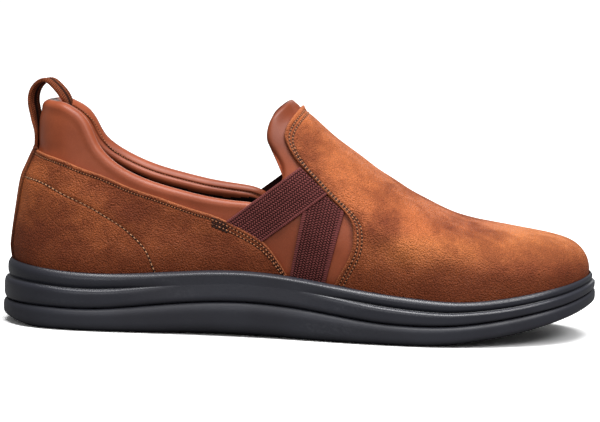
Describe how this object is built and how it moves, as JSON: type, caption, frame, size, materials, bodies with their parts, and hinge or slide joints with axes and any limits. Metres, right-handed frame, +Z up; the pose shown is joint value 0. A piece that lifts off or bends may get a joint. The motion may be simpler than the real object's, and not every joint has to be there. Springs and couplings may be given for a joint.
{
  "type": "slip-on sneaker",
  "caption": "Low slip-on leather sneaker with padded collar, suede overlays, crossed elastic side straps, pull loop and a moulded cup sole.",
  "frame": {"origin": "on the floor, under the middle of the sole's box in plan", "axes": "+X from heel to toe, +Y to the inner (medial) side of this right shoe, +Z up"},
  "size_m": [0.27, 0.0957, 0.1106],
  "materials": {
    "outsole_rubber": "satin moulded, near black",
    "midsole_foam": "satin moulded charcoal",
    "footbed": "matt dark brown lining",
    "smooth_leather": "satin smooth reddish brown",
    "suede": "mottled tan nubuck, matt",
    "elastic": "coarse plum-brown basket rib",
    "woven_tape": "fine woven brown tape"
  },
  "bodies": {
    "root": {"outsole": "outsole_rubber", "midsole": "midsole_foam", "insole": "footbed", "upper": "smooth_leather", "vamp": "suede", "quarter": "suede", "long_strap_lateral": "elastic", "short_strap_lateral": "elastic", "long_strap_medial": "elastic", "short_strap_medial": "elastic", "pull_loop": "woven_tape"}
  },
  "joints": []
}
